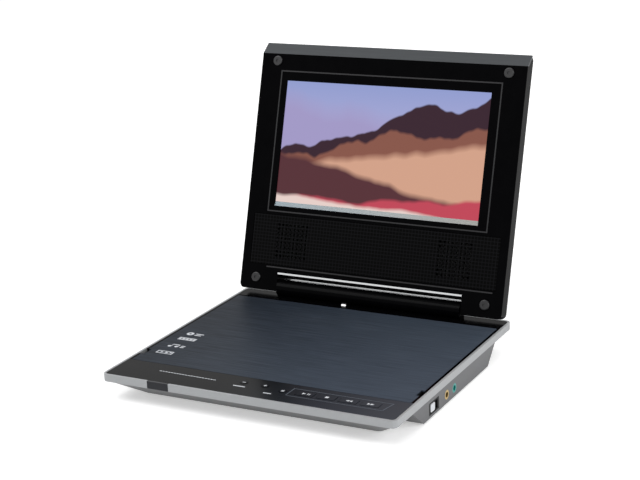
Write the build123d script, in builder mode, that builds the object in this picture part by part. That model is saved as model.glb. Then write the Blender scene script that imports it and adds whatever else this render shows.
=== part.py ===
"""Portable disc player with a folding screen, as separate pieces in millimetres.

+X is the user's right, +Y goes from the front to the hinge, +Z is up. The origin is the middle of the
front foot strip's underside, on the table. The lid stands open; its pieces are drawn on tilted planes.
"""
import os
from math import cos, radians, sin

from build123d import *

# ---- fits -------------------------------------------------------------------------------------------
gap = 0.4            # between pieces that move past each other
seam = 0.25          # between fixed pieces side by side
run = 0.05           # radial clearance of a turning or sliding shaft

# ---- base -------------------------------------------------------------------------------------------
base_w, base_d = 204.4, 185.3
foot_h, foot_l, foot_w, foot_sink = 1.0, 120.0, 7.0, 0.5
foot_back = 30.0     # from the base's front to the middle of the front foot strip
deck_top = 18.0
rim_h, rim_t = 4.9, 1.5
rim_corner = 4.0
wall = 2.0
lean_share = 1.3     # a leaning wall measured level, over the wall itself
tub_inset = 1.2      # the lower case's top stands back from the rim's face
tub_slope_x, tub_slope_y = 16.5, 17.8   # how far its sides lean in on the way down
pod_front_top, pod_front_bottom = 23.8, 39.4
pod_rear_bottom, pod_rear_top = 142.2, 154.8
pod_root = 78.0      # where the pod meets the sloping side

# ---- deck, strip and door ---------------------------------------------------------------------------
tray_t = 1.3
deck_side = 2.2      # black border beside the door
strip_d = 27.2       # control strip, front to back
strip_t = 1.6
door_pivot_y = 165.5
door_tail = 1.9      # door behind its pivot
door_t, skin_t = 1.7, 0.7
door_corner = 0.5
door_swing = 2.9     # reach of the door's tail as it turns, kept free in front of the rear band
notch_y, notch_l, notch_in = 45.2, 9.5, 2.2
pin_r, pin_l = 0.8, 3.0
ear_t = 1.2

# ---- disc well and loader ---------------------------------------------------------------------------
well_y = 98.0
well_r, well_depth = 62.5, 5.4
well_wall = 1.5
hub_r, hub_h = 7.4, 2.6
table_r, table_t = 14.0, 1.2
table_lift = 0.5
motor_r, motor_h = 9.5, 4.1
shaft_r = 1.0
plate_t = 0.8
plate_w, plate_d = 94.0, 62.0
plate_x = 23.0
damper_r, damper_h = 4.0, 1.1
rod_r, rod_span = 0.7, 8.2
rod_z_up = 1.3
sled_l, sled_w, sled_h = 20.0, 22.0, 2.0
sled_start, sled_travel = 24.0, 33.0
turret_r, turret_h = 4.3, 2.2
hub_chamfer = 0.8
lens_r, lens_h = 2.6, 0.5
screw_r, screw_off = 0.7, 14.5
nut_l = 5.0
post_t, post_near, post_far = 2.0, 10.8, 68.2
feed_l, feed_w = 11.0, 7.0

# ---- keys -------------------------------------------------------------------------------------------
key_travel = 0.5
key_proud = 0.25
key_flange = 0.8
key_board_t = 0.4
media_x, media_pitch = 34.3, 14.6
media_w, media_d, media_y = 12.4, 6.6, 17.6
round_r = 2.6
round_places = ((-9.8, 20.4), (5.2, 20.4), (19.3, 16.8))
board_t = 1.0
dome_r = 2.2

# ---- sockets, switch and board in the pod -----------------------------------------------------------
port_z = 6.6
phone_y, video_y, switch_y = 74.5, 86.4, 54.8
jack_bore_r, jack_bore_l = 1.8, 12.0
jack_collar_r = 3.0
jack_body = (14.0, 7.6, 5.6)
bezel_w, bezel_h, bezel_t = 15.0, 8.0, 1.4
knob_w, knob_h, knob_reach = 6.4, 5.2, 1.3
knob_round, knob_flange = 1.2, 2.0
knob_travel = 3.6
board_z = 9.8
board_w, board_d = 30.0, 92.0
board_x = 82.0
boss_r = 2.4
battery = (16.0, 100.0, 8.6)
battery_x = 74.5
battery_round = 2.6
hatch_w, hatch_d, hatch_lip = 16.0, 96.0, 1.6
case_screw_r, case_screw_h = 2.6, 1.2
shank_r, shank_l, post_r = 1.2, 7.0, 3.2
case_screw_x = 70.0

# ---- lid --------------------------------------------------------------------------------------------
lid_lean = 17.7      # from upright, in degrees
lid_w, lid_h, lid_t = 200.0, 176.5, 12.0
lid_wall = 2.0
lid_round = 4.0      # rear edges
lid_corner = 3.5
face_t = 2.0         # bezel
band_h, band_in, band_t = 8.0, 6.0, 1.4
screen_x, screen_y = -1.0, 105.2
screen_w, screen_h = 155.0, 89.1
screen_in = 0.95
ledge_h = 3.1
lcd_over, lcd_t, light_t = 2.6, 2.6, 2.6
groove_w, groove_d, bead_proud = 0.9, 0.4, 0.2
lower_bead_x, lower_bead_y, lower_bead_l = 6.0, 17.0, 172.0
groove_x, groove_low, groove_high = 83.4, 56.8, 156.4
grille_x, grille_low, grille_high = 94.0, 18.4, 54.4
grille_t = 1.2
slot_r, slot_pitch = 0.9, 3.2
slot_cols, slot_rows = 8, 8
speaker_r, speaker_t, speaker_x = 13.5, 6.0, 62.0
magnet_r = 9.45
bumper_r, bumper_h, bumper_x = 3.5, 1.2, 87.4
bumper_low, bumper_high = 8.6, 163.4
barrel_r, barrel_half = 5.9, 70.0
notch_h = 12.3
lid_gap = 1.5        # closed lid above the deck
pivot_up, pivot_in = 2.72, 4.49
saddle_d = 7.0
hinge_r, hinge_l, hinge_in = 2.0, 30.0, 15.0
hinge_back = 176.8   # hinge axis behind the front of the base
bracket_w, bracket_h, bracket_t = 16.0, 15.0, 4.6
trim_t, trim_w = 0.5, 1.2
lid_board = (60.0, 30.0, 1.2)
lid_screw_r = 2.2

# ---- worked out -------------------------------------------------------------------------------------
front_y = -foot_back


def at_y(back):
    """Y of a place given as its distance behind the base's front."""
    return front_y + back


mid_y = at_y(base_d / 2)
case_top = deck_top - rim_h
floor_z = foot_h + wall
tray_top = case_top + tray_t
inner_x = base_w / 2 - rim_t - seam
inner_front, inner_rear = at_y(rim_t + seam), at_y(base_d - rim_t - seam)
strip_rear = inner_front + strip_d
door_front = strip_rear + gap
door_x = base_w / 2 - rim_t - seam - deck_side + gap
door_rear = at_y(door_pivot_y + door_tail)
band_front = at_y(door_pivot_y) + door_swing + gap
door_bottom = deck_top - skin_t - door_t
pivot_z = door_bottom + door_t / 2
well_mid = at_y(well_y)
well_floor = tray_top - well_depth
plate_z = floor_z + damper_h
rod_z = plate_z + plate_t + rod_z_up
table_z = well_floor + table_lift
pod_x = base_w / 2
lean = radians(lid_lean)
hinge_z = deck_top + lid_gap + pivot_in
foot_z = hinge_z - pivot_up * cos(lean) + pivot_in * sin(lean)
foot_y = at_y(hinge_back) - pivot_up * sin(lean) - pivot_in * cos(lean)
hinge_y = at_y(hinge_back)
face = Plane(origin=(0, foot_y, foot_z), x_dir=(1, 0, 0), z_dir=(0, -cos(lean), sin(lean)))

os.makedirs("parts", exist_ok=True)


def save(piece, name):
    """Label a finished piece and write its STEP file."""
    piece.label = name
    export_step(piece, f"parts/{name}.step")


def deep(distance):
    """The lid's face plane moved into the lid by a distance."""
    return face.offset(-distance)


screw_places = [
    (x, at_y(back), foot_h)
    for x in (-case_screw_x, case_screw_x)
    for back in (foot_back, base_d - foot_back)
]

# ---- lower case -------------------------------------------------------------------------------------
tub_top_w, tub_top_d = base_w - 2 * tub_inset, base_d - 2 * tub_inset
tub_h = case_top - foot_h
lean_wall = wall * lean_share      # a wall measured level through a leaning side
inner_share = (case_top - floor_z) / tub_h


def pod_outline(inset):
    """Side outline of the pod, an inset inside its outer face, on a plane facing +X."""
    return [
        (at_y(pod_front_top + inset), case_top),
        (at_y(pod_front_bottom + inset), foot_h + inset),
        (at_y(pod_rear_bottom - inset), foot_h + inset),
        (at_y(pod_rear_top - inset), case_top),
    ]


with BuildPart() as lower_case:
    with BuildSketch(Plane.XY.offset(foot_h)):
        with Locations((0, mid_y)):
            RectangleRounded(tub_top_w - 2 * tub_slope_x, tub_top_d - 2 * tub_slope_y, rim_corner)
    with BuildSketch(Plane.XY.offset(case_top)):
        with Locations((0, mid_y)):
            RectangleRounded(tub_top_w, tub_top_d, rim_corner)
    loft()
    with BuildSketch(Plane.YZ.offset(pod_root)):
        with BuildLine():
            Polyline(*pod_outline(0), close=True)
        make_face()
    extrude(amount=pod_x - pod_root)
    with BuildSketch(Plane.XY.offset(floor_z)):
        with Locations((0, mid_y)):
            Rectangle(
                tub_top_w - 2 * tub_slope_x * inner_share - 2 * lean_wall,
                tub_top_d - 2 * tub_slope_y * inner_share - 2 * lean_wall,
            )
    with BuildSketch(Plane.XY.offset(case_top)):
        with Locations((0, mid_y)):
            Rectangle(tub_top_w - 2 * lean_wall, tub_top_d - 2 * lean_wall)
    loft(mode=Mode.SUBTRACT)
    with BuildSketch(Plane.YZ.offset(pod_root - wall)):
        with BuildLine():
            Polyline(*pod_outline(wall), close=True)
        make_face()
    extrude(amount=pod_x - pod_root, mode=Mode.SUBTRACT)
    with Locations((pod_x, at_y(phone_y), port_z), (pod_x, at_y(video_y), port_z)):
        Cylinder(jack_collar_r, 3 * wall, rotation=(0, 90, 0), mode=Mode.SUBTRACT)
    with Locations((pod_x, at_y(switch_y), port_z)):
        Box(3 * wall, bezel_w, bezel_h, mode=Mode.SUBTRACT)
    with Locations((-battery_x, at_y(well_y), foot_h + wall / 2)):
        Box(hatch_w, hatch_d, wall, mode=Mode.SUBTRACT)
    with Locations((0, 0, foot_h), (0, at_y(base_d - foot_back), foot_h)):
        Box(foot_l, foot_w, 2 * foot_sink, mode=Mode.SUBTRACT)
    with Locations((board_x - wall, at_y(well_y - 3), floor_z)):
        with GridLocations(board_w - 5 * boss_r, board_d - 3 * boss_r, 2, 2):
            Cylinder(boss_r, board_z - floor_z, align=(Align.CENTER, Align.CENTER, Align.MIN))
    with Locations(*screw_places):
        Cylinder(post_r, case_top - foot_h, align=(Align.CENTER, Align.CENTER, Align.MIN))
        Cylinder(case_screw_r, 2 * case_screw_h, mode=Mode.SUBTRACT)
        Cylinder(shank_r, 2 * (case_screw_h + shank_l), mode=Mode.SUBTRACT)
save(lower_case.part, "lower_case")

with BuildPart() as feet:
    with Locations((0, 0, 0), (0, at_y(base_d - foot_back), 0)):
        Box(foot_l, foot_w, foot_h + foot_sink, align=(Align.CENTER, Align.CENTER, Align.MIN))
save(feet.part, "feet")

with BuildPart() as battery_hatch:
    with Locations((-battery_x, at_y(well_y), foot_h)):
        Box(hatch_w - seam, hatch_d - seam, wall, align=(Align.CENTER, Align.CENTER, Align.MIN))
save(battery_hatch.part, "battery_hatch")

with BuildPart() as battery_pack:
    with Locations((-battery_x, at_y(well_y), floor_z)):
        Box(*battery, align=(Align.CENTER, Align.CENTER, Align.MIN))
    fillet(battery_pack.edges().filter_by(Axis.Y), battery_round)
save(battery_pack.part, "battery_pack")

with BuildPart() as case_screws:
    with Locations(*screw_places):
        Cylinder(case_screw_r, case_screw_h, align=(Align.CENTER, Align.CENTER, Align.MIN))
        Cylinder(shank_r, case_screw_h + shank_l, align=(Align.CENTER, Align.CENTER, Align.MIN))
        Box(2 * case_screw_r - 2 * gap, gap, case_screw_h, mode=Mode.SUBTRACT)
save(case_screws.part, "case_screws")

# ---- rim --------------------------------------------------------------------------------------------
ir_x, ir_w = -60.4, 15.5
with BuildPart() as rim_frame:
    with BuildSketch(Plane.XY.offset(case_top)):
        with Locations((0, mid_y)):
            RectangleRounded(base_w, base_d, rim_corner)
            RectangleRounded(base_w - 2 * rim_t, base_d - 2 * rim_t, rim_corner - rim_t, mode=Mode.SUBTRACT)
    extrude(amount=rim_h)
    with Locations((ir_x, front_y, case_top + rim_h / 2)):
        Box(ir_w, 3 * rim_t, rim_h, mode=Mode.SUBTRACT)
save(rim_frame.part, "rim_frame")

with BuildPart() as ir_window:
    with Locations((ir_x, front_y, case_top + rim_h / 2)):
        Box(ir_w - seam, rim_t, rim_h, align=(Align.CENTER, Align.MIN, Align.CENTER))
save(ir_window.part, "ir_window")

# ---- tray with the disc well ------------------------------------------------------------------------
sled_y = well_mid
slot_from = sled_start - turret_r - gap
slot_to = sled_start + sled_travel + turret_r + gap
with BuildPart() as disc_tray:
    with BuildSketch(Plane.XY.offset(case_top)):
        with Locations((0, (inner_front + inner_rear) / 2)):
            RectangleRounded(2 * inner_x, inner_rear - inner_front, rim_corner - rim_t)
    extrude(amount=tray_t)
    with Locations((0, well_mid, tray_top)):
        Cylinder(well_r + well_wall, well_depth + well_wall, align=(Align.CENTER, Align.CENTER, Align.MAX))
        Cylinder(well_r, well_depth, align=(Align.CENTER, Align.CENTER, Align.MAX), mode=Mode.SUBTRACT)
        Cylinder(motor_r + gap, 3 * well_depth, mode=Mode.SUBTRACT)
    with Locations(((slot_from + slot_to) / 2, sled_y, well_floor)):
        Box(slot_to - slot_from, 2 * (turret_r + gap), 4 * well_wall, mode=Mode.SUBTRACT)
save(disc_tray.part, "disc_tray")

with BuildPart() as deck_frame:
    with BuildSketch(Plane.XY.offset(tray_top)):
        with Locations((0, (strip_rear + seam + inner_rear) / 2)):
            Rectangle(2 * inner_x, inner_rear - strip_rear - seam)
        with Locations((0, (strip_rear + band_front) / 2 - seam)):
            Rectangle(2 * (door_x + gap), band_front - strip_rear + 2 * seam, mode=Mode.SUBTRACT)
    extrude(amount=deck_top - tray_top)
    fillet(deck_frame.edges().filter_by(Axis.Z).group_by(Axis.Y)[-1], rim_corner - rim_t)
    with Locations((door_x + gap, at_y(notch_y), deck_top), (-door_x - gap, at_y(notch_y), deck_top)):
        Box(2 * notch_in, notch_l, rim_h, mode=Mode.SUBTRACT)
    with Locations((door_x + gap, at_y(door_pivot_y), pivot_z), (-door_x - gap, at_y(door_pivot_y), pivot_z)):
        Cylinder(pin_r + run, 2 * ear_t, rotation=(0, 90, 0), mode=Mode.SUBTRACT)
save(deck_frame.part, "deck_frame")

# ---- control strip, keys and their board ------------------------------------------------------------
media_places = [(media_x + i * media_pitch, media_y) for i in range(4)]
with BuildPart() as control_strip:
    with BuildSketch(Plane.XY.offset(tray_top)):
        with Locations((0, (inner_front + strip_rear) / 2)):
            Rectangle(2 * inner_x, strip_rear - inner_front)
    extrude(amount=deck_top - tray_top)
    fillet(control_strip.edges().filter_by(Axis.Z).group_by(Axis.Y)[0], rim_corner - rim_t)
    with BuildSketch(Plane.XY.offset(tray_top)):
        with Locations((0, (inner_front + strip_rear) / 2)):
            Rectangle(2 * (inner_x - wall), strip_rear - inner_front - 2 * wall)
    extrude(amount=deck_top - tray_top - strip_t, mode=Mode.SUBTRACT)
    with Locations(*[(x, at_y(y), deck_top) for x, y in media_places]):
        Box(media_w, media_d, 3 * strip_t, mode=Mode.SUBTRACT)
    with Locations(*[(x, at_y(y), deck_top) for x, y in round_places]):
        Cylinder(round_r, 3 * strip_t, mode=Mode.SUBTRACT)
save(control_strip.part, "control_strip")

flange_z = deck_top - strip_t - key_flange - seam
for number, (x, y) in enumerate(round_places):
    with BuildPart() as round_key:
        with Locations((x, at_y(y), flange_z)):
            Cylinder(round_r + key_flange, key_flange, align=(Align.CENTER, Align.CENTER, Align.MIN))
            Cylinder(round_r - gap, deck_top + key_proud - flange_z, align=(Align.CENTER, Align.CENTER, Align.MIN))
    save(round_key.part, ("key_volume_down", "key_volume_up", "key_menu")[number])

for number, (x, y) in enumerate(media_places):
    with BuildPart() as media_key:
        with Locations((x, at_y(y), flange_z)):
            Box(
                media_w + 2 * key_flange - seam,
                media_d + 2 * key_flange,
                key_flange,
                align=(Align.CENTER, Align.CENTER, Align.MIN),
            )
            Box(
                media_w - 2 * gap,
                media_d - 2 * gap,
                deck_top + key_proud - flange_z,
                align=(Align.CENTER, Align.CENTER, Align.MIN),
            )
    save(media_key.part, ("key_play", "key_stop", "key_back", "key_next")[number])

dome_top = flange_z - key_travel - seam / 2
with BuildPart() as key_board:
    with BuildSketch(Plane.XY.offset(tray_top)):
        with Locations((0, (inner_front + strip_rear) / 2)):
            Rectangle(2 * (inner_x - wall - seam), strip_rear - inner_front - 2 * wall - 2 * seam)
    extrude(amount=key_board_t)
    with Locations(*[(x, at_y(y), tray_top) for x, y in list(round_places) + media_places]):
        Cylinder(dome_r, dome_top - tray_top, align=(Align.CENTER, Align.CENTER, Align.MIN))
save(key_board.part, "key_board")

# ---- disc door --------------------------------------------------------------------------------------
with BuildPart() as door_panel:
    with BuildSketch(Plane.XY.offset(door_bottom)):
        with Locations((0, (door_front + door_rear) / 2)):
            Rectangle(2 * door_x, door_rear - door_front)
    extrude(amount=door_t)
    with Locations((0, well_mid, door_bottom)):
        Cylinder(well_r - wall, door_t / 2, align=(Align.CENTER, Align.CENTER, Align.MIN), mode=Mode.SUBTRACT)
    with Locations((door_x, at_y(notch_y), door_bottom), (-door_x, at_y(notch_y), door_bottom)):
        Box(2 * notch_in, notch_l - 2 * gap, 3 * door_t, mode=Mode.SUBTRACT)
    with Locations((door_x, at_y(door_pivot_y), pivot_z), (-door_x, at_y(door_pivot_y), pivot_z)):
        Cylinder(pin_r, 2 * pin_l, rotation=(0, 90, 0), mode=Mode.SUBTRACT)
save(door_panel.part, "door_panel")

with BuildPart() as door_skin:
    with BuildSketch(Plane.XY.offset(door_bottom + door_t)):
        with Locations((0, (door_front + door_rear) / 2)):
            RectangleRounded(2 * door_x, door_rear - door_front, door_corner)
    extrude(amount=skin_t)
    with Locations((door_x, at_y(notch_y), deck_top), (-door_x, at_y(notch_y), deck_top)):
        Box(2 * notch_in, notch_l - 2 * gap, 3 * skin_t, mode=Mode.SUBTRACT)
    with Locations((door_x, at_y(door_pivot_y), pivot_z), (-door_x, at_y(door_pivot_y), pivot_z)):
        Cylinder(pin_r, 2 * pin_l, rotation=(0, 90, 0), mode=Mode.SUBTRACT)
save(door_skin.part, "door_skin")

with BuildPart() as door_pins:
    for side in (-1, 1):
        with Locations((side * (door_x + (ear_t - pin_l) / 2), at_y(door_pivot_y), pivot_z)):
            Cylinder(pin_r, pin_l + ear_t, rotation=(0, 90, 0))
save(door_pins.part, "door_pins")

# ---- loader under the well --------------------------------------------------------------------------
plate_top = plate_z + plate_t
plate_corners = GridLocations(plate_w - 3 * damper_r, plate_d - 3 * damper_r, 2, 2).locations
posts = [post_near + post_t / 2, post_far + post_t / 2]

with BuildPart() as dampers:
    with Locations(*[Location((plate_x, well_mid, floor_z)) * place for place in plate_corners]):
        Cylinder(damper_r, damper_h, align=(Align.CENTER, Align.CENTER, Align.MIN))
save(dampers.part, "dampers")

with BuildPart() as loader_plate:
    with Locations((plate_x, well_mid, plate_z)):
        Box(plate_w, plate_d, plate_t, align=(Align.CENTER, Align.CENTER, Align.MIN))
    with Locations(*[(x, sled_y - feed_w / 2 + gap, plate_top) for x in posts]):
        Box(post_t, 2 * screw_off + gap, 2 * rod_z_up, align=(Align.CENTER, Align.CENTER, Align.MIN))
    with Locations((0, sled_y - rod_span, rod_z), (0, sled_y + rod_span, rod_z)):
        Cylinder(rod_r, 3 * post_far, rotation=(0, 90, 0), mode=Mode.SUBTRACT)
    with Locations((0, sled_y - screw_off, rod_z)):
        Cylinder(screw_r + run, 3 * post_far, rotation=(0, 90, 0), mode=Mode.SUBTRACT)
save(loader_plate.part, "loader_plate")

with BuildPart() as guide_rods:
    with Locations((post_near, sled_y - rod_span, rod_z), (post_near, sled_y + rod_span, rod_z)):
        Cylinder(
            rod_r,
            post_far + post_t - post_near,
            rotation=(0, 90, 0),
            align=(Align.CENTER, Align.CENTER, Align.MIN),
        )
save(guide_rods.part, "guide_rods")

with BuildPart() as spindle_motor:
    with Locations((0, well_mid, plate_top)):
        Cylinder(motor_r, motor_h, align=(Align.CENTER, Align.CENTER, Align.MIN))
        Cylinder(shaft_r + run, 3 * motor_h, mode=Mode.SUBTRACT)
save(spindle_motor.part, "spindle_motor")

with BuildPart() as turntable:
    with Locations((0, well_mid, table_z)):
        Cylinder(table_r, table_t, align=(Align.CENTER, Align.CENTER, Align.MIN))
        Cylinder(hub_r, table_t + hub_h, align=(Align.CENTER, Align.CENTER, Align.MIN))
    chamfer(turntable.edges().group_by(Axis.Z)[-1], hub_chamfer)
    with Locations((0, well_mid, plate_top + gap)):
        Cylinder(shaft_r, table_z - plate_top, align=(Align.CENTER, Align.CENTER, Align.MIN))
save(turntable.part, "turntable")

with BuildPart() as pickup_sled:
    with Locations((sled_start, sled_y, rod_z)):
        Box(sled_l, sled_w, sled_h)
    with Locations((sled_start, sled_y - screw_off / 2 - sled_w / 4, rod_z)):
        Box(nut_l, screw_off + post_t - sled_w / 2, sled_h)
    with Locations((sled_start, sled_y, rod_z + sled_h / 2)):
        Cylinder(turret_r, turret_h, align=(Align.CENTER, Align.CENTER, Align.MIN))
        Cylinder(lens_r, 2 * turret_h, mode=Mode.SUBTRACT)
    with Locations((sled_start, sled_y - rod_span, rod_z), (sled_start, sled_y + rod_span, rod_z)):
        Cylinder(rod_r + run, 2 * sled_l, rotation=(0, 90, 0), mode=Mode.SUBTRACT)
    with Locations((sled_start, sled_y - screw_off, rod_z)):
        Cylinder(screw_r + run, 2 * sled_l, rotation=(0, 90, 0), mode=Mode.SUBTRACT)
save(pickup_sled.part, "pickup_sled")

with BuildPart() as pickup_lens:
    with Locations((sled_start, sled_y, rod_z + sled_h / 2)):
        Cylinder(lens_r, turret_h + lens_h, align=(Align.CENTER, Align.CENTER, Align.MIN))
    fillet(pickup_lens.edges().group_by(Axis.Z)[-1], lens_h)
save(pickup_lens.part, "pickup_lens")

with BuildPart() as lead_screw:
    with Locations((post_near - gap, sled_y - screw_off, rod_z)):
        Cylinder(
            screw_r,
            post_far + post_t - post_near + gap,
            rotation=(0, 90, 0),
            align=(Align.CENTER, Align.CENTER, Align.MIN),
        )
save(lead_screw.part, "lead_screw")

with BuildPart() as feed_motor:
    with Locations((post_near - 2 * gap, sled_y - screw_off, plate_top)):
        Box(feed_l, feed_w, 2 * rod_z_up, align=(Align.MAX, Align.MAX, Align.MIN))
save(feed_motor.part, "feed_motor")

# ---- board, sockets and switch in the pod -----------------------------------------------------------
board_y = at_y(well_y - 3)
with BuildPart() as main_board:
    with Locations((board_x, board_y, board_z)):
        Box(board_w, board_d, board_t, align=(Align.CENTER, Align.CENTER, Align.MIN))
    with Locations((board_x - boss_r, board_y + board_d / 5, board_z + board_t)):
        Box(board_w / 2, board_w / 2, board_t, align=(Align.CENTER, Align.CENTER, Align.MIN))
save(main_board.part, "main_board")

for back, name in ((phone_y, "headphone_jack"), (video_y, "video_jack")):
    with BuildPart() as jack:
        with Locations((pod_x - wall, at_y(back), board_z)):
            Box(*jack_body[:2], board_z - port_z + jack_body[2] / 2, align=(Align.MAX, Align.CENTER, Align.MAX))
        with Locations((pod_x - wall, at_y(back), port_z)):
            Cylinder(
                jack_collar_r,
                wall,
                rotation=(0, 90, 0),
                align=(Align.CENTER, Align.CENTER, Align.MIN),
            )
        with Locations((pod_x, at_y(back), port_z)):
            Cylinder(
                jack_bore_r,
                jack_bore_l,
                rotation=(0, 90, 0),
                align=(Align.CENTER, Align.CENTER, Align.MAX),
                mode=Mode.SUBTRACT,
            )
    save(jack.part, name)

knob_rest = switch_y - knob_travel / 2
with BuildPart() as switch_bezel:
    with Locations((pod_x, at_y(switch_y), port_z)):
        Box(bezel_t, bezel_w, bezel_h, align=(Align.MAX, Align.CENTER, Align.CENTER))
        Box(3 * bezel_t, knob_w + knob_travel + 2 * gap, knob_h + 2 * gap, mode=Mode.SUBTRACT)
save(switch_bezel.part, "switch_bezel")

with BuildPart() as switch_knob:
    with Locations((pod_x, at_y(knob_rest), port_z)):
        Box(bezel_t + gap, knob_w, knob_h, align=(Align.MAX, Align.CENTER, Align.CENTER))
    fillet(switch_knob.edges().filter_by(Axis.X), knob_round)
    with Locations((pod_x - bezel_t - gap, at_y(knob_rest), port_z)):
        Box(knob_reach, knob_w + knob_flange, knob_h + 4 * gap, align=(Align.MAX, Align.CENTER, Align.CENTER))
save(switch_knob.part, "switch_knob")

with BuildPart() as power_switch:
    with Locations((pod_x - bezel_t - 2 * gap - knob_reach, at_y(switch_y), board_z)):
        Box(knob_w, bezel_w, board_z - floor_z - gap, align=(Align.MAX, Align.CENTER, Align.MAX))
save(power_switch.part, "power_switch")

# ---- hinge ------------------------------------------------------------------------------------------
with BuildPart() as hinge_barrel:
    with Locations((0, hinge_y, hinge_z)):
        Cylinder(barrel_r, 2 * barrel_half, rotation=(0, 90, 0))
    with Locations((0, hinge_y, deck_top)):
        Box(2 * barrel_half, saddle_d, hinge_z - deck_top, align=(Align.CENTER, Align.CENTER, Align.MIN))
    with Locations((-barrel_half, hinge_y, hinge_z), (barrel_half, hinge_y, hinge_z)):
        Cylinder(hinge_r + run, 2 * (hinge_in + gap), rotation=(0, 90, 0), mode=Mode.SUBTRACT)
save(hinge_barrel.part, "hinge_barrel")

led_x, led_w, led_h = -17.4, 3.0, 1.0
with BuildPart() as power_led:
    with Locations((led_x, hinge_y - saddle_d / 2, deck_top)):
        Box(led_w, led_h, led_h, align=(Align.CENTER, Align.MAX, Align.MIN))
save(power_led.part, "power_led")

with BuildPart() as hinge_shafts:
    for side in (-1, 1):
        with Locations((side * (barrel_half - hinge_in + hinge_l / 2), hinge_y, hinge_z)):
            Cylinder(hinge_r, hinge_l, rotation=(0, 90, 0))
save(hinge_shafts.part, "hinge_shafts")

# ---- lid shell --------------------------------------------------------------------------------------
side_face = Plane(origin=face.origin, x_dir=face.y_dir, z_dir=(1, 0, 0))
forward = Axis(face.origin, face.z_dir)
notch_w = 2 * (barrel_half + gap)
notch_depth = pivot_in + barrel_r + gap
back_trim_y = pivot_up + barrel_r + trim_w / 4
bracket_x = barrel_half + gap + wall + bracket_w / 2
bracket_low = pivot_up - hinge_r + gap
band_len = (band_h**2 + band_in**2) ** 0.5
band_back = (-band_t * band_in / band_len, -band_t * band_h / band_len)
band_foot = lid_h - band_h
band_foot_in = band_t * band_len / band_h
band_line = [
    (band_foot, 0),
    (lid_h, -band_in),
    (lid_h + band_back[0], -band_in + band_back[1]),
    (band_foot, -band_foot_in),
]
bumper_places = [(x, y) for x in (-bumper_x, bumper_x) for y in (bumper_low, bumper_high)]
speaker_y = (grille_low + grille_high) / 2

with BuildPart() as lid_back:
    with BuildSketch(deep(face_t)):
        with Locations((0, lid_h / 2)):
            RectangleRounded(lid_w, lid_h, lid_corner)
    extrude(amount=face_t - lid_t)
    fillet(lid_back.faces().sort_by(forward)[0].edges(), lid_round - gap)
    with BuildSketch(deep(face_t)):
        with Locations((0, (notch_h + wall + band_foot - lid_wall) / 2)):
            Rectangle(lid_w - 2 * lid_wall, band_foot - lid_wall - notch_h - wall)
    extrude(amount=face_t + lid_wall - lid_t, mode=Mode.SUBTRACT)
    with BuildSketch(deep(0)):
        Rectangle(notch_w, 2 * notch_h)
    extrude(amount=-notch_depth, mode=Mode.SUBTRACT)
    with BuildSketch(deep(0)):
        Rectangle(notch_w, 2 * (pivot_up + gap))
    extrude(amount=-2 * lid_t, mode=Mode.SUBTRACT)
    with BuildSketch(side_face):
        with BuildLine():
            Polyline(
                (band_foot, face_t), band_line[3], band_line[2], band_line[1],
                (lid_h + lid_round, -band_in), (lid_h + lid_round, face_t), close=True,
            )
        make_face()
    extrude(amount=lid_w, both=True, mode=Mode.SUBTRACT)
    with BuildSketch(deep(notch_depth)):
        with Locations((0, back_trim_y)):
            Rectangle(notch_w, trim_w)
    extrude(amount=-trim_t, mode=Mode.SUBTRACT)
    for side in (-1, 1):
        with BuildSketch(deep(face_t)):
            with Locations((side * bracket_x, bracket_low + bracket_h / 2)):
                Rectangle(bracket_w, bracket_h)
        extrude(amount=-bracket_t, mode=Mode.SUBTRACT)
        with Locations((side * (barrel_half + hinge_in / 2), hinge_y, hinge_z)):
            Cylinder(hinge_r, hinge_in, rotation=(0, 90, 0), mode=Mode.SUBTRACT)
save(lid_back.part, "lid_back")

with BuildPart() as hinge_brackets:
    for side in (-1, 1):
        with BuildSketch(deep(face_t)):
            with Locations((side * bracket_x, bracket_low + bracket_h / 2)):
                Rectangle(bracket_w, bracket_h)
        extrude(amount=-bracket_t)
        with Locations((side * (barrel_half + hinge_in / 2), hinge_y, hinge_z)):
            Cylinder(hinge_r, hinge_in, rotation=(0, 90, 0), mode=Mode.SUBTRACT)
save(hinge_brackets.part, "hinge_brackets")

with BuildPart() as back_trim:
    with BuildSketch(deep(notch_depth)):
        with Locations((0, back_trim_y)):
            Rectangle(notch_w, trim_w)
    extrude(amount=-trim_t)
save(back_trim.part, "back_trim")

with BuildPart() as top_band:
    with BuildSketch(side_face):
        with BuildLine():
            Polyline(*band_line, close=True)
        make_face()
    extrude(amount=lid_w / 2, both=True)
save(top_band.part, "top_band")

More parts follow.
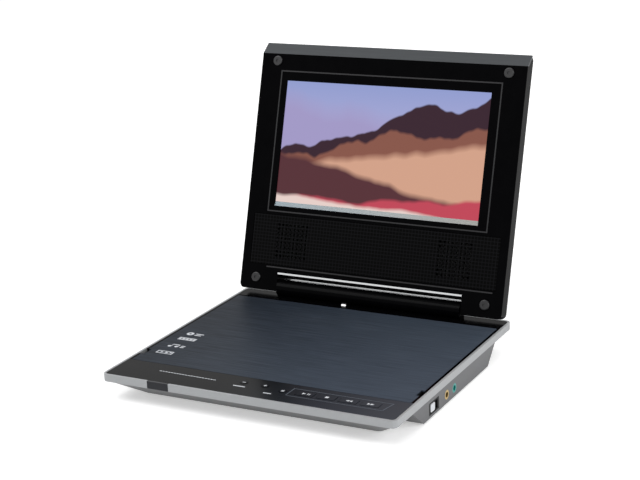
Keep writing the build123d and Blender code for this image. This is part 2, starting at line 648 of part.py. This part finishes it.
with BuildPart() as lid_bezel:
    with BuildSketch(face):
        with Locations((0, lid_h / 2)):
            RectangleRounded(lid_w, lid_h, lid_corner)
        with Locations((0, lid_h)):
            Rectangle(lid_w, 2 * band_h, mode=Mode.SUBTRACT)
        Rectangle(notch_w, 2 * notch_h, mode=Mode.SUBTRACT)
        with Locations((screen_x, screen_y)):
            Rectangle(screen_w, screen_h, mode=Mode.SUBTRACT)
        with Locations((0, speaker_y)):
            Rectangle(2 * grille_x, grille_high - grille_low, mode=Mode.SUBTRACT)
    extrude(amount=-face_t)
    with BuildSketch(deep(screen_in)):
        with Locations((screen_x, screen_y)):
            Rectangle(screen_w + 2 * lcd_over, screen_h + 2 * lcd_over)
    extrude(amount=-face_t, mode=Mode.SUBTRACT)
    with BuildSketch(deep(groove_d)):
        with Locations((0, (groove_low + groove_high) / 2)):
            Rectangle(2 * groove_x + groove_w, groove_high - groove_low + groove_w)
            Rectangle(2 * groove_x - groove_w, groove_high - groove_low - groove_w, mode=Mode.SUBTRACT)
        with Locations((lower_bead_x, lower_bead_y)):
            Rectangle(lower_bead_l, groove_w)
    extrude(amount=face_t, mode=Mode.SUBTRACT)
    with BuildSketch(deep(trim_t / 2)):
        with Locations((0, notch_h + trim_w / 2)):
            Rectangle(notch_w, trim_w)
    extrude(amount=face_t, mode=Mode.SUBTRACT)
    with BuildSketch(deep(face_t / 2)):
        with Locations(*bumper_places):
            Circle(bumper_r)
    extrude(amount=face_t, mode=Mode.SUBTRACT)
save(lid_bezel.part, "lid_bezel")

with BuildPart() as face_beads:
    with BuildSketch(deep(groove_d)):
        with Locations((0, (groove_low + groove_high) / 2)):
            Rectangle(2 * groove_x + groove_w, groove_high - groove_low + groove_w)
            Rectangle(2 * groove_x - groove_w, groove_high - groove_low - groove_w, mode=Mode.SUBTRACT)
        with Locations((lower_bead_x, lower_bead_y)):
            Rectangle(lower_bead_l, groove_w)
    extrude(amount=groove_d + bead_proud)
save(face_beads.part, "face_beads")

with BuildPart() as notch_trim:
    with BuildSketch(deep(trim_t / 2)):
        with Locations((0, notch_h + trim_w / 2)):
            Rectangle(notch_w, trim_w)
    extrude(amount=trim_t)
save(notch_trim.part, "notch_trim")

with BuildPart() as lid_bumpers:
    with BuildSketch(deep(face_t / 2)):
        with Locations(*bumper_places):
            Circle(bumper_r)
    extrude(amount=face_t / 2 + bumper_h)
    fillet(lid_bumpers.edges().filter_by(GeomType.CIRCLE).group_by(forward)[-1], bumper_h / 2)
    with BuildSketch(face.offset(bumper_h - trim_t)):
        with Locations(*bumper_places):
            Circle(bumper_r / 3)
    extrude(amount=bumper_h, mode=Mode.SUBTRACT)
save(lid_bumpers.part, "lid_bumpers")

with BuildPart() as speaker_grille:
    with BuildSketch(deep(seam)):
        with Locations((0, speaker_y)):
            Rectangle(2 * (grille_x - seam), grille_high - grille_low - 2 * seam)
        for side in (-1, 1):
            with Locations((side * speaker_x, speaker_y)):
                with GridLocations(slot_pitch, slot_pitch, slot_cols, slot_rows):
                    Circle(slot_r, mode=Mode.SUBTRACT)
    extrude(amount=seam - face_t)
save(speaker_grille.part, "speaker_grille")

for side, name in ((-1, "speaker_left"), (1, "speaker_right")):
    with BuildPart() as speaker:
        with BuildSketch(deep(face_t)):
            with Locations((side * speaker_x, speaker_y)):
                Circle(speaker_r)
        extrude(amount=-grille_t)
        with BuildSketch(deep(face_t + grille_t)):
            with Locations((side * speaker_x, speaker_y)):
                Circle(magnet_r)
        extrude(amount=grille_t - speaker_t)
    save(speaker.part, name)

# ---- screen -----------------------------------------------------------------------------------------
ledge_low = screen_y - screen_h / 2
with BuildPart() as screen_ledge:
    with BuildSketch(side_face.offset(screen_x)):
        with BuildLine():
            Polyline(
                (ledge_low, 0), (ledge_low + ledge_h, seam - screen_in),
                (ledge_low + ledge_h, -screen_in), (ledge_low, -screen_in), close=True,
            )
        make_face()
    extrude(amount=screen_w / 2, both=True)
save(screen_ledge.part, "screen_ledge")

layers = (("lcd_panel", screen_in, lcd_t, 0), ("backlight", screen_in + lcd_t, light_t, lcd_over))
for name, depth, thick, inset in layers:
    with BuildPart() as layer:
        with BuildSketch(deep(depth)):
            with Locations((screen_x, screen_y)):
                Rectangle(screen_w + 2 * lcd_over - seam - inset, screen_h + 2 * lcd_over - seam - inset)
        extrude(amount=-thick)
    save(layer.part, name)

with BuildPart() as screen_board:
    with BuildSketch(deep(screen_in + lcd_t + light_t)):
        with Locations((screen_x, screen_y)):
            Rectangle(*lid_board[:2])
    extrude(amount=-lid_board[2])
save(screen_board.part, "screen_board")
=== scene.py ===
"""A portable disc player with a folding screen, dressed for a plain studio picture."""
from math import cos, pi, radians, sin

import bpy
import numpy as np
from mathutils import Matrix, Vector


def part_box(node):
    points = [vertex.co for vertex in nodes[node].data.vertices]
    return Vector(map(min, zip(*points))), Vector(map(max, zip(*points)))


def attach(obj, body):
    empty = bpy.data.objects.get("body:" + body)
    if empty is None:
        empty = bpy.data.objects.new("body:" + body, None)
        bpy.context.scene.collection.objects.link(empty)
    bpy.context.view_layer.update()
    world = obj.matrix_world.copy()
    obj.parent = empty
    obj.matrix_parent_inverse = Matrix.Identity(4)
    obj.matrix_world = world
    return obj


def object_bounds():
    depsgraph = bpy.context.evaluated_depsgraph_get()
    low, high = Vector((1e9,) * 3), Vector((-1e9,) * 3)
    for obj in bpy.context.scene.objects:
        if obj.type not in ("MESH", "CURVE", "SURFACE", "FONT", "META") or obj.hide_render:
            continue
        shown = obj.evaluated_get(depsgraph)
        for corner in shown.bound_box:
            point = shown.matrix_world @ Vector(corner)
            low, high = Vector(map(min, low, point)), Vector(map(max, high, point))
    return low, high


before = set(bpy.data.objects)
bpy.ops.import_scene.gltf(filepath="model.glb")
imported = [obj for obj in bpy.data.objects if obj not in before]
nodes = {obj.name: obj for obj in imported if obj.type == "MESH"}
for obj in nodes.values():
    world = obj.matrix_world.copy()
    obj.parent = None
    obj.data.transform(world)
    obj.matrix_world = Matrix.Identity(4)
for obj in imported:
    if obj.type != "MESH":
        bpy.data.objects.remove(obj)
cad_box = [list(corner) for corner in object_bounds()]
mm = 0.001


# Lower case: one dark grey ABS moulding with leaning sides and a pod for the sockets.
# A fine spark-eroded texture gives it a soft, even sheen. The battery hatch is the same plastic.
def colour(text):
    """The linear colour of an sRGB hex value, with full opacity."""
    parts = [int(text[i:i + 2], 16) / 255 for i in (0, 2, 4)]
    return [p / 12.92 if p <= 0.04045 else ((p + 0.055) / 1.055) ** 2.4 for p in parts] + [1.0]


def node(tree, kind, links=None, **settings):
    """Add a node; settings name its attributes or input sockets, links name sockets to feed."""
    made = tree.nodes.new("ShaderNode" + kind)
    for name, value in settings.items():
        if hasattr(made, name):
            setattr(made, name, value)
        else:
            key = int(name[1:]) if name[1:].isdigit() else name.replace("_", " ")
            made.inputs[key].default_value = value
    for name, source in (links or {}).items():
        key = int(name[1:]) if name[1:].isdigit() else name.replace("_", " ")
        tree.links.new(source, made.inputs[key])
    return made


def finish_of(name, **surface):
    """A new material with its surface shader set, as (material, node tree, shader)."""
    made = bpy.data.materials.new(name)
    made.use_nodes = True
    tree = made.node_tree
    shader = tree.nodes["Principled BSDF"]
    for key, value in surface.items():
        shader.inputs[key.replace("_", " ")].default_value = value
    return made, tree, shader


def grain(tree, shader, size, depth, stretch=(1, 1, 1)):
    """Fine relief: noise with a grain size and depth in metres, stretched along the axes."""
    place = node(tree, "TexCoord").outputs["Object"]
    place = node(tree, "Mapping", {"Vector": place}, Scale=stretch).outputs[0]
    noise = node(tree, "TexNoise", {"Vector": place}, Scale=1 / size, Detail=3.0)
    bump = node(tree, "Bump", {"Height": noise.outputs["Fac"]}, Distance=depth, Strength=0.5)
    tree.links.new(bump.outputs[0], shader.inputs["Normal"])
    return noise.outputs["Fac"]


def tint(tree, shader, share, dark, light, socket="Base Color"):
    """Colour the surface between two hex colours by a share from 0 to 1."""
    mix = node(tree, "Mix", data_type="RGBA")
    tree.links.new(share, mix.inputs[0])
    mix.inputs[6].default_value = colour(dark)
    mix.inputs[7].default_value = colour(light)
    tree.links.new(mix.outputs[2], shader.inputs[socket])


def dress(material, *names):
    """Give CAD nodes a finish, in their own material slots."""
    for name in names:
        for slot in nodes[name].material_slots:
            slot.material = material


case_abs, tree, shader = finish_of("textured_abs", Roughness=0.42, Specular_IOR_Level=0.5)
tint(tree, shader, grain(tree, shader, 0.35 * mm, 0.02 * mm), "48494b", "595a5d")
dress(case_abs, "lower_case", "battery_hatch")


# Foot strips, dampers and lid bumpers: moulded black rubber, matt with a slightly dusty bloom.
rubber, tree, shader = finish_of("moulded_rubber", Roughness=0.35, Specular_IOR_Level=0.5)
tint(tree, shader, grain(tree, shader, 0.25 * mm, 0.015 * mm), "0c0c0d", "161618")
dress(rubber, "feet", "dampers", "lid_bumpers")


# Silver frame round the deck: ABS with a silver metallic paint, so it is bright but not a mirror.
# The paint's flakes make it sparkle slightly; the infrared window in it is smoked acrylic.
silver, tree, shader = finish_of("silver_paint", Metallic=0.3, Roughness=0.42, Specular_IOR_Level=0.3)
tint(tree, shader, grain(tree, shader, 0.2 * mm, 0.006 * mm), "989a9c", "a8aaac")
dress(silver, "rim_frame")

smoked, tree, shader = finish_of("smoked_acrylic", Roughness=0.2, Specular_IOR_Level=0.15)
tint(tree, shader, grain(tree, shader, 4 * mm, 0.002 * mm), "26272a", "303135")
dress(smoked, "ir_window")


# Gloss black mouldings: the lid's bezel and back, the deck's border and the hinge barrel.
# Polished ABS, almost black; what shows is a faint, slightly uneven gloss.
piano, tree, shader = finish_of("polished_black_abs", Roughness=0.18, Specular_IOR_Level=0.02)
tint(tree, shader, grain(tree, shader, 9 * mm, 0.002 * mm), "020203", "060607")
dress(piano, "lid_back", "lid_bezel", "hinge_barrel", "deck_frame")

# Raised beads round the screen and over the hinge: the same plastic left satin, so edges catch light; their
# colour is painted a dark grey, lighter than the gloss black, as a painted highlight.
bead, tree, shader = finish_of("satin_black_abs_painted_highlight", Roughness=0.45, Specular_IOR_Level=0.3)
tint(tree, shader, grain(tree, shader, 1 * mm, 0.004 * mm), "161617", "222224")
dress(bead, "face_beads")


# Matt black inner mouldings: door frame, disc tray, switch bezel and loader parts.
matt, tree, shader = finish_of("matt_black_abs", Roughness=0.55, Specular_IOR_Level=0.15)
tint(tree, shader, grain(tree, shader, 0.4 * mm, 0.02 * mm), "0c0c0d", "161618")
dress(matt, "door_panel", "disc_tray", "switch_bezel", "turntable", "pickup_sled", "power_switch")


# Door skin: thin aluminium sheet, brushed along its width and dyed blue-grey.
# Long fine scratches streak its colour, and a painted sheen makes it lighter towards the right.
skin_low, skin_high = (Vector(v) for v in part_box("door_skin"))
brushed, tree, shader = finish_of(
    "brushed_dyed_aluminium_painted_reflection", Metallic=0.15, Roughness=0.5, Specular_IOR_Level=0.06)
place = node(tree, "TexCoord").outputs["Object"]
scratch_length, scratch_width = 38 * mm, 1.1 * mm
lines = node(tree, "Mapping", {"Vector": place}, Scale=(1 / scratch_length, 1 / scratch_width, 1)).outputs[0]
scratches = node(tree, "TexNoise", {"Vector": lines}, Scale=1.0, Detail=4.0, Roughness=0.7).outputs["Fac"]
streak_depth = 0.3
streaks = node(
    tree, "MapRange", {"Value": scratches},
    From_Min=0.3, From_Max=0.7, To_Min=-streak_depth, To_Max=streak_depth,
).outputs[0]
across = node(tree, "SeparateXYZ", {"Vector": place}).outputs[0]
# Painted sheen: the colour runs from dark on the left to light on the right, standing in for the lamps'
# reflection.
painted_sheen = node(
    tree, "MapRange", {"Value": across}, interpolation_type="SMOOTHSTEP",
    From_Min=skin_low.x - 60 * mm, From_Max=skin_high.x, To_Min=0.05, To_Max=0.86,
).outputs[0]
share = node(tree, "Math", {"_0": painted_sheen, "_1": streaks}, operation="ADD", use_clamp=True)
tint(tree, shader, share.outputs[0], "10151d", "424b57")
bump = node(tree, "Bump", {"Height": scratches}, Distance=0.02 * mm, Strength=0.35)
tree.links.new(bump.outputs[0], shader.inputs["Normal"])
dress(brushed, "door_skin")


# Control strip and its keys: gloss black acrylic, with a painted reflection that turns its colour grey
# towards the right.
strip_low, strip_high = (Vector(v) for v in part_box("control_strip"))
acrylic, tree, shader = finish_of("gloss_black_acrylic_painted_reflection", Roughness=0.2, Specular_IOR_Level=0.04)
place = node(tree, "TexCoord").outputs["Object"]
across = node(tree, "SeparateXYZ", {"Vector": place}).outputs[0]
# Painted reflection: black on the left, fading to grey on the right.
painted_reflection_share = node(
    tree, "MapRange", {"Value": across}, interpolation_type="SMOOTHSTEP",
    From_Min=-30 * mm, From_Max=strip_high.x + 20 * mm,
).outputs[0]
tint(tree, shader, painted_reflection_share, "020203", "3b4047")
key_names = ["key_volume_down", "key_volume_up", "key_menu", "key_play", "key_stop", "key_back", "key_next"]
dress(acrylic, "control_strip", *key_names)


# Printed marks: thin white ink on the door and the strip, all of them plain signs.
# Each is a flat patch of ink a twentieth of a millimetre proud, built from strips and rings.
ink, tree, shader = finish_of("white_screen_ink", Roughness=0.5, Specular_IOR_Level=0.2)
tint(tree, shader, grain(tree, shader, 0.4 * mm, 0.002 * mm), "c4c8cf", "dfe2e6")
dim_ink, tree, shader = finish_of("grey_screen_ink", Roughness=0.5, Specular_IOR_Level=0.2)
tint(tree, shader, grain(tree, shader, 0.4 * mm, 0.002 * mm), "4b525b", "5d646d")
ink_t, ink_lift = 0.05 * mm, 0.01 * mm


def strip(x0, y0, x1, y1, slant=0.0):
    """A flat bar: corners of a rectangle, its far side shifted sideways by a slant."""
    return np.array([[x0, y0], [x1, y0], [x1 + slant, y1], [x0 + slant, y1]]), [(0, 1, 2, 3)]


def ring(x, y, outer, inner, steps=24):
    """A flat ring: a circle of angles times an outer and an inner radius."""
    turn = np.linspace(0, 2 * np.pi, steps, endpoint=False)
    circle = np.stack([np.cos(turn), np.sin(turn)], axis=1)
    points = np.concatenate([circle * outer, circle * inner]) + (x, y)
    faces = [(i, (i + 1) % steps, steps + (i + 1) % steps, steps + i) for i in range(steps)]
    return points, faces


def arrow(x, y, size, way=1):
    """A triangle that points right (way 1) or left (way -1) from its middle."""
    reach = size / 2
    back, tip = x - way * reach, x + way * reach
    points = np.array([[back, y - reach], [tip, y], [back, y + reach]])
    return points, [(0, 1, 2) if way > 0 else (0, 2, 1)]


def printed(name, shapes, height, body, material):
    """Join flat shapes (in mm) into one closed patch of ink at a height, riding on a body."""
    points, faces, base = [], [], 0
    for flat, own in shapes:
        points.append(np.column_stack([flat * mm, np.full(len(flat), height)]))
        faces += [tuple(base + i for i in face) for face in own]
        base += len(flat)
    mesh = bpy.data.meshes.new(name)
    mesh.from_pydata(np.concatenate(points).tolist(), [], faces)
    made = bpy.data.objects.new(name, mesh)
    bpy.context.scene.collection.objects.link(made)
    made.data.materials.append(material)
    thick = made.modifiers.new("ink", "SOLIDIFY")
    thick.thickness, thick.offset = ink_t, 1.0
    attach(made, body)


# Four signs on the door's left: disc, film strip, note and picture, made of bars and rings.
skin_top = skin_high.z + ink_lift
sign_x, sign_w = -91.0, 13.0
disc_sign = [
    ring(sign_x + 3, 54.2, 2.6, 0.9),
    strip(sign_x + 7, 52.2, sign_x + 12, 53.4), strip(sign_x + 7, 54.6, sign_x + 13, 55.8),
]
film_sign = [strip(sign_x, 42.2, sign_x + sign_w, 43.0), strip(sign_x, 45.8, sign_x + sign_w, 46.6)]
film_sign += [strip(sign_x + i, 43.4, sign_x + i + 2.0, 45.4) for i in (0, 2.8, 5.6, 8.4, 11.0)]
note_sign = [
    ring(sign_x + 2.2, 29.2, 1.3, 0.1), ring(sign_x + 7.2, 29.6, 1.3, 0.1),
    strip(sign_x + 3.0, 29.2, sign_x + 3.6, 33.0), strip(sign_x + 8.0, 29.6, sign_x + 8.6, 33.0),
    strip(sign_x + 3.0, 32.2, sign_x + 8.6, 33.2),
    strip(sign_x + 10.0, 28.6, sign_x + 13.0, 29.8), strip(sign_x + 10.0, 30.8, sign_x + 13.0, 32.0),
]
edge = sign_x + sign_w - 1
picture_sign = [
    strip(sign_x, 15.4, edge, 16.1), strip(sign_x, 19.3, edge, 20.0),
    strip(sign_x, 16.1, sign_x + 0.8, 19.3), strip(edge - 0.8, 16.1, edge, 19.3),
    arrow(sign_x + 4.0, 17.6, 2.4), arrow(sign_x + 7.6, 17.6, 2.6), ring(sign_x + 9.9, 18.3, 0.7, 0.05),
]
door_signs = {
    "disc_sign": disc_sign, "film_sign": film_sign, "note_sign": note_sign, "picture_sign": picture_sign,
}
for name, shapes in door_signs.items():
    printed(name, shapes, skin_top, "door", ink)

# A dashed rule and two key bars on the strip, with a thin rule round the media keys.
strip_top = strip_high.z + ink_lift
dash_x, dash_end, dash_step, dash_l, dash_slope = -70.0, -28.5, 2.1, 1.6, 0.02
dashes = []
for x in np.arange(dash_x, dash_end, dash_step):
    drop = dash_slope * (x - dash_x)
    dashes.append(strip(x, -12.2 - drop, x + dash_l, -11.5 - drop))
printed("dashed_rule", dashes, strip_top, "base", ink)
bars = [strip(-14.0, -16.4, -5.6, -15.4), strip(9.2, -20.2, 14.6, -19.2)]
printed("key_bars", bars, strip_top, "base", ink)
rule = [
    strip(23.5, -6.8, 90.6, -6.4), strip(24.5, -18.4, 88.0, -18.0),
    strip(23.5, -18.0, 24.0, -6.8, 0.2), strip(88.0, -18.0, 88.5, -6.8, 2.0),
]
printed("key_rule", rule, strip_top, "base", dim_ink)

# Signs on the key caps: plus, minus, menu, play with pause, stop, back and next.
cap_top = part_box("key_play")[1][2] + ink_lift
caps = {
    "key_volume_down": [strip(-10.9, -9.9, -8.7, -9.3)],
    "key_volume_up": [strip(4.1, -9.9, 6.3, -9.3), strip(4.9, -10.7, 5.5, -8.5)],
    "key_menu": [
        strip(18.2, -12.6, 20.4, -12.2), strip(18.2, -13.4, 20.4, -13.0), strip(18.2, -14.2, 20.4, -13.8)],
    "key_play": [arrow(33.6, -12.4, 2.4), strip(35.8, -13.5, 36.3, -11.3), strip(36.9, -13.5, 37.4, -11.3)],
    "key_stop": [strip(47.9, -13.5, 50.1, -11.3)],
    "key_back": [arrow(62.6, -12.4, 2.2, -1), arrow(64.8, -12.4, 2.2, -1)],
    "key_next": [arrow(77.0, -12.4, 2.2), arrow(79.2, -12.4, 2.2)],
}
for name, shapes in caps.items():
    printed("sign_" + name, shapes, cap_top, name, ink)


# Lid top band: a strip let into the sloping top edge of the lid, coloured dark grey as a painted highlight
# of the light from above.
# Satin finish over a moulding, faintly streaked along its length.
band, tree, shader = finish_of("satin_top_band_painted_highlight", Metallic=0.2, Roughness=0.45)
tint(tree, shader, grain(tree, shader, 1.2 * mm, 0.004 * mm, (0.05, 1, 1)), "2c2f32", "3a3e41")
dress(band, "top_band")


# Speaker grille: black moulding with a fine square pattern of pin holes over its whole width.
# The pattern is drawn at 2.4 mm pitch in the plane of the leaning lid.
lean = radians(17.7)
grille, tree, shader = finish_of("perforated_black_abs", Roughness=0.4, Specular_IOR_Level=0.03)
place = node(tree, "TexCoord").outputs["Object"]
flat = node(tree, "Mapping", {"Vector": place}, Rotation=(lean, 0, 0)).outputs[0]
apart = node(tree, "SeparateXYZ", {"Vector": flat})
pitch = 2.4 * mm
waves = []
for i in (0, 2):
    angle = node(tree, "Math", {"_0": apart.outputs[i]}, operation="MULTIPLY", _1=2 * pi / pitch).outputs[0]
    waves.append(node(tree, "Math", {"_0": angle}, operation="SINE").outputs[0])
both = node(tree, "Math", {"_0": waves[0], "_1": waves[1]}, operation="MAXIMUM").outputs[0]
ribs = node(tree, "MapRange", {"Value": both}, From_Min=0.6, From_Max=0.95).outputs[0]
tint(tree, shader, ribs, "020202", "141416")
dress(grille, "speaker_grille")


# Bright trims: one narrow strip in the hinge notch and one on the wall behind the barrel.
# Polished and chromed, so each reads as a single bright line.
chrome, tree, shader = finish_of("chromed_strip", Metallic=0.9, Roughness=0.22)
tint(tree, shader, grain(tree, shader, 2 * mm, 0.001 * mm), "cfd1d3", "e2e3e4")
dress(chrome, "notch_trim", "back_trim")


# Switch knob and power lamp: the knob is white ABS with a soft shine.
# The lamp is a small clear lens that glows white.
white, tree, shader = finish_of("white_abs", Roughness=0.4, Specular_IOR_Level=0.5)
tint(tree, shader, grain(tree, shader, 0.5 * mm, 0.01 * mm), "c9ccd2", "dde0e5")
dress(white, "switch_knob")
lamp, tree, shader = finish_of("lit_lamp_lens", Roughness=0.3, Emission_Strength=1.0)
tint(tree, shader, grain(tree, shader, 0.5 * mm, 0.001 * mm), "e6e6ea", "ffffff", "Emission Color")
dress(lamp, "power_led")


# Sockets in the pod: the headphone socket has a gilt brass collar.
# The video socket is moulded in teal nylon.
gilt, tree, shader = finish_of("gilt_brass", Metallic=0.9, Roughness=0.28)
tint(tree, shader, grain(tree, shader, 0.6 * mm, 0.004 * mm), "a98b4a", "c9ab68")
dress(gilt, "headphone_jack")
teal, tree, shader = finish_of("teal_nylon", Roughness=0.4)
tint(tree, shader, grain(tree, shader, 0.6 * mm, 0.008 * mm), "0f7f78", "1e9a90")
dress(teal, "video_jack")


# Inner parts: plated steel, circuit boards, battery, light box, speakers and lens.
# Each has its plain workshop finish; they show only with the door up or the case apart.
steel, tree, shader = finish_of("zinc_plated_steel", Metallic=0.9, Roughness=0.35)
tint(tree, shader, grain(tree, shader, 1.5 * mm, 0.006 * mm), "9a9da0", "b6b9bb")
dress(steel, "loader_plate", "guide_rods", "lead_screw", "door_pins", "hinge_shafts", "hinge_brackets")
dress(steel, "case_screws", "spindle_motor", "feed_motor")
board, tree, shader = finish_of("green_solder_mask", Roughness=0.35)
tint(tree, shader, grain(tree, shader, 1.2 * mm, 0.01 * mm), "0d4a2a", "176238")
dress(board, "main_board", "key_board", "screen_board")
wrap, tree, shader = finish_of("heat_shrunk_wrap", Roughness=0.4)
tint(tree, shader, grain(tree, shader, 3 * mm, 0.03 * mm), "1b2f55", "25406f")
dress(wrap, "battery_pack")
diffuser, tree, shader = finish_of("white_diffuser", Roughness=0.5)
tint(tree, shader, grain(tree, shader, 2 * mm, 0.002 * mm), "dcdcd8", "ececea")
dress(diffuser, "backlight")
cone, tree, shader = finish_of("pressed_speaker_paper", Roughness=0.7)
tint(tree, shader, grain(tree, shader, 0.6 * mm, 0.02 * mm), "141414", "242424")
dress(cone, "speaker_left", "speaker_right")
optic, tree, shader = finish_of("coated_lens", Roughness=0.05)
tint(tree, shader, grain(tree, shader, 4 * mm, 0.001 * mm), "1a2350", "2e3c84")
dress(optic, "pickup_lens")


# Screen: a lit liquid crystal panel showing a made-up scene of dunes under a lilac sky.
# All of it is worked out from the place on the panel. The sill below it is glossy, and its colour, bluish
# grey on the left and warm grey on the right, is a painted reflection of the screen.
panel_low, panel_high = (Vector(v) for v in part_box("lcd_panel"))
picture, tree, shader = finish_of("lit_screen", Roughness=0.12, Specular_IOR_Level=0.1)
shader.inputs["Base Color"].default_value = colour("050507")
place = node(tree, "TexCoord").outputs["Object"]
centre = (panel_low + panel_high) / 2
flat = node(
    tree, "Mapping", {"Vector": place}, vector_type="TEXTURE",
    Location=tuple(centre), Rotation=(-lean, 0, 0),
).outputs[0]
apart = node(tree, "SeparateXYZ", {"Vector": flat})
half_w, half_h = 77.5 * mm, 44.5 * mm
right = node(tree, "Math", {"_0": apart.outputs[0]}, operation="DIVIDE", _1=half_w).outputs[0]
high = node(tree, "Math", {"_0": apart.outputs[2]}, operation="DIVIDE", _1=half_h).outputs[0]


def layer(below, share, text):
    """Lay a colour over what is below it, by a share from 0 to 1."""
    mix = node(tree, "Mix", {"_0": share}, data_type="RGBA")
    tree.links.new(below, mix.inputs[6])
    mix.inputs[7].default_value = colour(text)
    return mix.outputs[2]


def ridge(level, tilt, size, rough, seed, soft):
    """Share that is 1 below a rolling line: a level plus a tilt plus noise of a size, with a soft edge."""
    row = node(tree, "CombineXYZ", {"X": right}, Y=seed).outputs[0]
    wave = node(tree, "TexNoise", {"Vector": row}, Scale=1 / size, Detail=3.0).outputs["Fac"]
    base = level - rough / 2
    line = node(tree, "Math", {"_0": wave}, operation="MULTIPLY_ADD", _1=rough, _2=base).outputs[0]
    line = node(tree, "Math", {"_0": right, "_2": line}, operation="MULTIPLY_ADD", _1=tilt).outputs[0]
    over = node(tree, "Math", {"_0": line, "_1": high}, operation="SUBTRACT").outputs[0]
    return node(tree, "MapRange", {"Value": over}, From_Min=0.0, From_Max=soft).outputs[0]


sky = node(tree, "MapRange", {"Value": high}, From_Min=-0.6, From_Max=1.0).outputs[0]
mix = node(tree, "Mix", {"_0": sky}, data_type="RGBA")
mix.inputs[6].default_value = colour("c9bfe6")
mix.inputs[7].default_value = colour("98a4d8")
shown = mix.outputs[2]
shown = layer(shown, ridge(0.62, -0.30, 0.9, 0.9, 3.1, 0.35), "a9a0cf")
shown = layer(shown, ridge(0.42, 0.55, 0.55, 0.9, 7.7, 0.03), "3b2430")
shown = layer(shown, ridge(0.18, 0.42, 0.5, 0.8, 12.3, 0.05), "8e5a4c")
shown = layer(shown, ridge(-0.05, 0.30, 0.8, 0.7, 21.0, 0.12), "dca98f")
shown = layer(shown, ridge(-0.42, -0.35, 0.7, 0.5, 33.0, 0.10), "5a3238")
shown = layer(shown, ridge(-0.72, 0.12, 0.6, 0.4, 41.0, 0.06), "c94a5c")
shown = layer(shown, ridge(-0.86, -0.10, 0.6, 0.25, 47.0, 0.06), "f0d9d2")
tree.links.new(shown, shader.inputs["Emission Color"])
shader.inputs["Emission Strength"].default_value = 0.9
dress(picture, "lcd_panel")

# Painted reflection: the sill's colour stands in for the lit screen mirrored in it.
sill, tree, shader = finish_of("polished_sill_painted_reflection", Roughness=0.2, Specular_IOR_Level=0.5)
place = node(tree, "TexCoord").outputs["Object"]
across = node(tree, "SeparateXYZ", {"Vector": place}).outputs[0]
share = node(tree, "MapRange", {"Value": across}, From_Min=panel_low.x, From_Max=panel_high.x).outputs[0]
tint(tree, shader, share, "6a7f8a", "91918c")
dress(sill, "screen_ledge")


# Floor and backdrop: a pale level sheet under a white surround.
# The sheet keeps the shadow; the surround looks white but lights the player less.
def sheet_at(name, height, half):
    """A level square sheet: corner points at plus and minus its half width, at a height."""
    x, y = np.meshgrid([-half, half], [-half, half])
    points = np.stack([x.ravel(), y.ravel(), np.full(4, height)], axis=1)
    mesh = bpy.data.meshes.new(name)
    mesh.from_pydata(points.tolist(), [], [(0, 1, 3, 2)])
    made = bpy.data.objects.new(name, mesh)
    bpy.context.scene.collection.objects.link(made)
    return made


def looked_at(tree):
    """Share that is 1 for rays from the camera, a mirror or clear plastic, and 0 for lighting rays."""
    rays = node(tree, "LightPath").outputs
    seen = node(
        tree, "Math", {"_0": rays["Is Camera Ray"], "_1": rays["Is Glossy Ray"]}, operation="MAXIMUM")
    links = {"_0": seen.outputs[0], "_1": rays["Is Transmission Ray"]}
    return node(tree, "Math", links, operation="MAXIMUM").outputs[0]


floor_gap, floor_half = 0.05 * mm, 6.0
floor = sheet_at("floor", cad_box[0][2] - floor_gap, floor_half)
paper, tree, shader = finish_of("pale_paper", Roughness=0.9, Specular_IOR_Level=0.0)
shader.inputs["Base Color"].default_value = colour("f2f2f2")
glow = node(tree, "Math", {"_0": looked_at(tree)}, operation="MULTIPLY", _1=0.45)
shader.inputs["Emission Color"].default_value = (1, 1, 1, 1)
tree.links.new(glow.outputs[0], shader.inputs["Emission Strength"])
floor.data.materials.append(paper)

world = bpy.data.worlds.new("studio")
bpy.context.scene.world = world
world.use_nodes = True
tree = world.node_tree
tree.nodes.clear()
strength = node(tree, "MapRange", {"Value": looked_at(tree)}, To_Min=0.45, To_Max=1.0)
back = node(tree, "Background", {"Strength": strength.outputs[0]}, Color=(1, 1, 1, 1))
node(tree, "OutputWorld", {"Surface": back.outputs[0]})


# Lamps: a large soft box over the front left, a smaller one on the right and one behind.
# All three face the middle of the player.
def soft_box(name, place, aim, width, power):
    """A square area lamp at a place, turned to face an aim point."""
    data = bpy.data.lights.new(name, "AREA")
    data.shape, data.size, data.energy = "SQUARE", width, power
    made = bpy.data.objects.new(name, data)
    made.location = place
    made.rotation_euler = (Vector(aim) - Vector(place)).to_track_quat("-Z", "Y").to_euler()
    bpy.context.scene.collection.objects.link(made)


middle = (0, 0.07, 0.05)
soft_box("key_box", (-0.9, -0.7, 1.5), middle, 1.0, 16)
soft_box("side_box", (1.6, -0.3, 0.9), middle, 0.9, 14)
soft_box("back_box", (0.3, 1.5, 1.3), middle, 1.0, 10)


# Camera: to the front right of the player and above it, with a long lens.
# It is turned, raised and slightly rolled, and its frame is shifted to centre the player.
turn, rise, roll = radians(28.60), radians(17.52), radians(-2.51)
backward = Vector((sin(turn) * cos(rise), -cos(turn) * cos(rise), sin(rise)))
level = Vector((cos(turn), sin(turn), 0))
upward = backward.cross(level)
side = level * cos(roll) + upward * sin(roll)
upward = backward.cross(side)
camera = bpy.data.cameras.new("camera")
camera.sensor_width, camera.lens = 36.0, 90.9
camera.shift_x, camera.shift_y = 0.0241, 0.0443
seer = bpy.data.objects.new("camera", camera)
facing = Matrix((side, upward, backward)).transposed().to_4x4()
seer.matrix_world = Matrix.Translation((0.4701, -0.8057, 0.3832)) @ facing
bpy.context.scene.collection.objects.link(seer)
bpy.context.scene.camera = seer
bpy.context.scene.view_settings.view_transform = "Standard"
